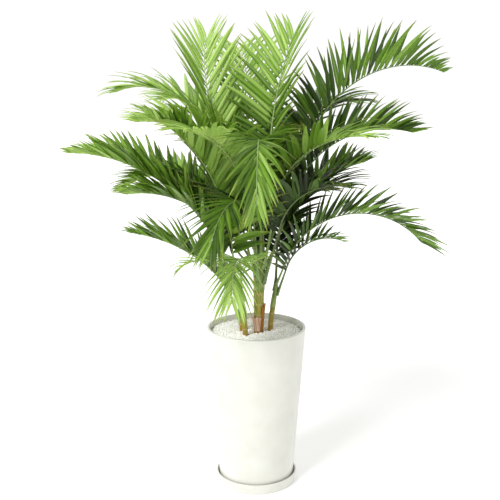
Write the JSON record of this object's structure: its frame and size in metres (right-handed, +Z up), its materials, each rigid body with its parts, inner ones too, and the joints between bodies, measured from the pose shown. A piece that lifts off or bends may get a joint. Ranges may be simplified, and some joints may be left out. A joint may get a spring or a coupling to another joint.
{
  "type": "potted palm",
  "caption": "Clumping feather palm with ringed canes and arching fronds in a tall tapered glazed pot on its saucer.",
  "frame": {"origin": "middle of the saucer's flat underside, on the floor", "axes": "+Z up; the front of the plant faces -Y, with the longest side fronds to +X and -X"},
  "size_m": [1.4303, 1.2063, 1.6705],
  "materials": {
    "white_glaze": "gloss",
    "potting_soil": "matte",
    "white_pebbles": "matte",
    "ringed_cane": "satin",
    "leaf_sheath": "satin",
    "dry_husk": "matte",
    "palm_leaf": "satin"
  },
  "bodies": {
    "root": {"saucer": "white_glaze", "pot": "white_glaze", "potting_soil": "potting_soil", "pebble_mulch": "white_pebbles", "cane_main": "ringed_cane", "sheaths_main": "leaf_sheath", "cane_right": "ringed_cane", "sheaths_right": "leaf_sheath", "cane_left": "ringed_cane", "sheaths_left": "leaf_sheath", "cane_front": "ringed_cane", "sheaths_front": "leaf_sheath", "cane_back": "ringed_cane", "sheaths_back": "leaf_sheath", "husk_front": "dry_husk", "husk_side": "dry_husk", "frond_top_back": "palm_leaf", "frond_top_left": "palm_leaf", "frond_right_high": "palm_leaf", "frond_front_high": "palm_leaf", "frond_left_high": "palm_leaf", "frond_front_left": "palm_leaf", "frond_front_right": "palm_leaf", "frond_right_mid": "palm_leaf", "frond_left_rear": "palm_leaf", "frond_right_low": "palm_leaf", "frond_right_short": "palm_leaf", "frond_right_inner": "palm_leaf", "frond_left_long": "palm_leaf", "frond_left_low": "palm_leaf", "frond_front_low": "palm_leaf", "frond_front_side": "palm_leaf", "frond_right_rear": "palm_leaf", "frond_back_high": "palm_leaf", "frond_back_left": "palm_leaf", "frond_back_mid": "palm_leaf", "frond_back_low": "palm_leaf", "frond_back_side": "palm_leaf", "frond_left_mid": "palm_leaf", "frond_left_back": "palm_leaf", "frond_right_back": "palm_leaf", "frond_front_mid": "palm_leaf", "frond_right_under": "palm_leaf"}
  },
  "joints": []
}
